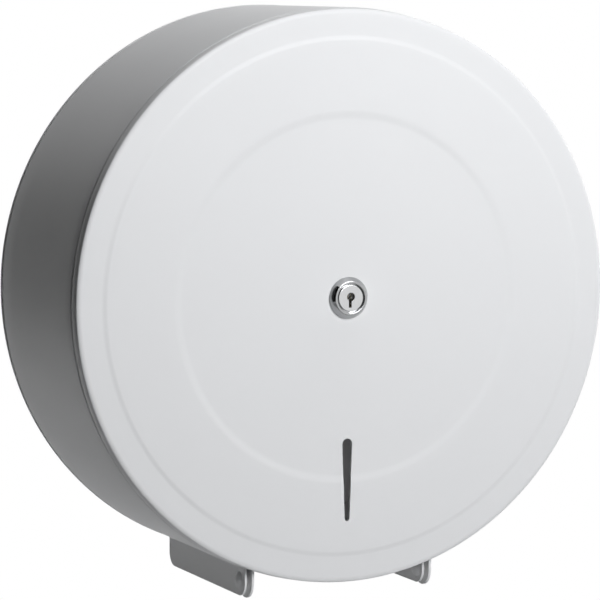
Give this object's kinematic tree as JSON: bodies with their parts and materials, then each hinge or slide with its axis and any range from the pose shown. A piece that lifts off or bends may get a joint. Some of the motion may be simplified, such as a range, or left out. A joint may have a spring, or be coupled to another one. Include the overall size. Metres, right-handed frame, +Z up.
{
  "type": "jumbo toilet roll dispenser",
  "caption": "Round wall-mounted white steel drum with a bottom-hinged lockable lid, a sight slot, a turning core hub and a paper mouth between side flanges.",
  "frame": {"origin": "centre of the four wall-screw holes, on the back plate's rear face, which lies on the drum's axis", "axes": "+Y points into the wall along the drum's axis, so the lid faces -Y; +Z up; +X to the right seen from the front"},
  "size_m": [0.304, 0.123, 0.3104],
  "materials": {
    "white_enamel": "satin white powder coat with a very fine orange peel",
    "painted_pin": "white painted rivet head, satin",
    "zinc_steel": "bright zinc plate",
    "stainless_steel": "brushed stainless strip",
    "chrome_plate": "polished dark chrome over nickel",
    "satin_nickel": "satin nickel, fine turned grain",
    "brass_wafer": "raw stamped brass",
    "nylon": "natural nylon",
    "hub_plastic": "moulded grey plastic",
    "black_rubber": "soft black rubber"
  },
  "bodies": {
    "casing": {"back_plate": "white_enamel", "drum_shell": "white_enamel", "shell_rivets": "zinc_steel", "tear_bar_left": "stainless_steel", "tear_bar_right": "stainless_steel", "spindle_base": "zinc_steel", "spindle_studs": "zinc_steel", "spindle_nuts": "zinc_steel", "spindle_tube": "zinc_steel", "spindle_end_ring": "zinc_steel", "keeper_plate": "zinc_steel", "keeper_screws": "zinc_steel", "hub_washer": "nylon", "hinge_pin_left": "painted_pin", "hinge_pin_right": "painted_pin", "hinge_spacers": "nylon", "hinge_clips": "zinc_steel"},
    "hub": {"core_hub": "hub_plastic"},
    "lid": {"lid_panel": "white_enamel", "lid_ear_left": "white_enamel", "lid_ear_right": "white_enamel", "lid_buffers": "black_rubber", "lock_housing": "chrome_plate", "lock_washer": "zinc_steel", "lock_nut": "zinc_steel"},
    "lock_rotor": {"lock_plug": "satin_nickel", "lock_wafers": "brass_wafer", "lock_cam": "zinc_steel", "cam_screw": "zinc_steel"}
  },
  "joints": [
    {"name": "lid_hinge", "type": "hinge", "parent": "casing", "child": "lid", "pos_m": [0, -0.1034, -0.149], "axis": [1, 0, 0], "range_deg": [0, 150]},
    {"name": "hub_spin", "type": "hinge", "parent": "casing", "child": "hub", "pos_m": [0, -0.05, 0], "axis": [0, 1, 0], "continuous": true},
    {"name": "lock_turn", "type": "hinge", "parent": "lid", "child": "lock_rotor", "pos_m": [0, -0.119, 0], "axis": [0, 1, 0], "range_deg": [0, 90]}
  ]
}
